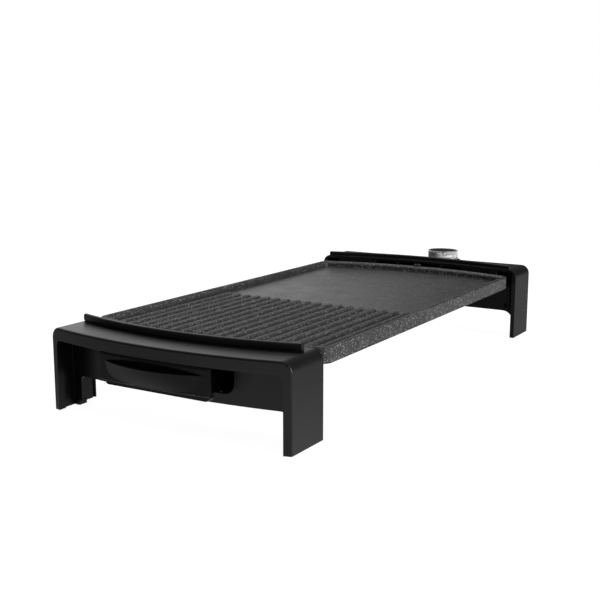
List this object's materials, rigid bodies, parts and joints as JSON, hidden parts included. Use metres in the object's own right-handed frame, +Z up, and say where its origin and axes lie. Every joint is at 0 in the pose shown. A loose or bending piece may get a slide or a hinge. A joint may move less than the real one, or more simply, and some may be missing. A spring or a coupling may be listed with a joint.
{
  "type": "electric griddle",
  "caption": "Tabletop electric griddle: rimmed cast plate, part ribbed and part smooth, on moulded stands, with a slide-out drip tray and a plug-in thermostat with a turning knob.",
  "frame": {"origin": "centre of the footprint, on the surface that the feet stand on", "axes": "+Z up, +Y from the drip tray end to the control end, +X to the right seen from the drip tray"},
  "size_m": [0.2684, 0.655, 0.09],
  "materials": {
    "plate_coating": "dark speckled non-stick coating on a cast plate",
    "stand_plastic": "satin black, fine grain",
    "cover_plastic": "matt black",
    "tray_plastic": "satin black",
    "housing_plastic": "satin black",
    "block_plastic": "dull brown moulding",
    "knob_plastic": "semi-gloss black",
    "knob_metal": "satin silver",
    "lens_plastic": "clear red",
    "element_steel": "dark oxidised steel",
    "clip_steel": "plated steel",
    "pin_steel": "bright steel",
    "screw_steel": "dull steel",
    "black_screw": "blackened steel",
    "ceramic": "unglazed off-white",
    "contact_brass": "plain",
    "foot_rubber": "matt",
    "gland_rubber": "matt"
  },
  "bodies": {
    "base": {"griddle_plate": "plate_coating", "heating_element": "element_steel", "element_clips": "clip_steel", "terminal_pins": "pin_steel", "terminal_beads": "ceramic", "terminal_guard": "clip_steel", "front_stand": "stand_plastic", "rear_stand": "stand_plastic", "front_stand_cover": "cover_plastic", "rear_stand_cover": "cover_plastic", "plate_screws": "screw_steel", "cover_screws": "black_screw", "front_left_foot": "foot_rubber", "front_right_foot": "foot_rubber", "rear_left_foot": "foot_rubber", "rear_right_foot": "foot_rubber"},
    "drip_tray": {"drip_tray_pan": "tray_plastic", "drip_tray_front": "tray_plastic"},
    "thermostat": {"thermostat_lower_shell": "housing_plastic", "thermostat_upper_shell": "housing_plastic", "contact_block": "block_plastic", "contact_sleeves": "contact_brass", "thermostat_probe": "pin_steel", "thermostat_switch": "block_plastic", "thermostat_screws": "screw_steel", "pilot_lens": "lens_plastic", "cord_gland": "gland_rubber"},
    "knob": {"control_shaft": "pin_steel", "knob_body": "knob_plastic", "knob_ring": "knob_metal"}
  },
  "joints": [
    {"name": "tray_slide", "type": "slide", "parent": "base", "child": "drip_tray", "axis": [0, -1, 0], "range_m": [0, 0.05]},
    {"name": "thermostat_pull", "type": "slide", "parent": "base", "child": "thermostat", "axis": [0, 1, 0], "range_m": [0, 0.11]},
    {"name": "knob_turn", "type": "hinge", "parent": "thermostat", "child": "knob", "pos_m": [0, 0.298, 0.0842], "axis": [0, 0, 1], "range_deg": [0, 270]}
  ]
}
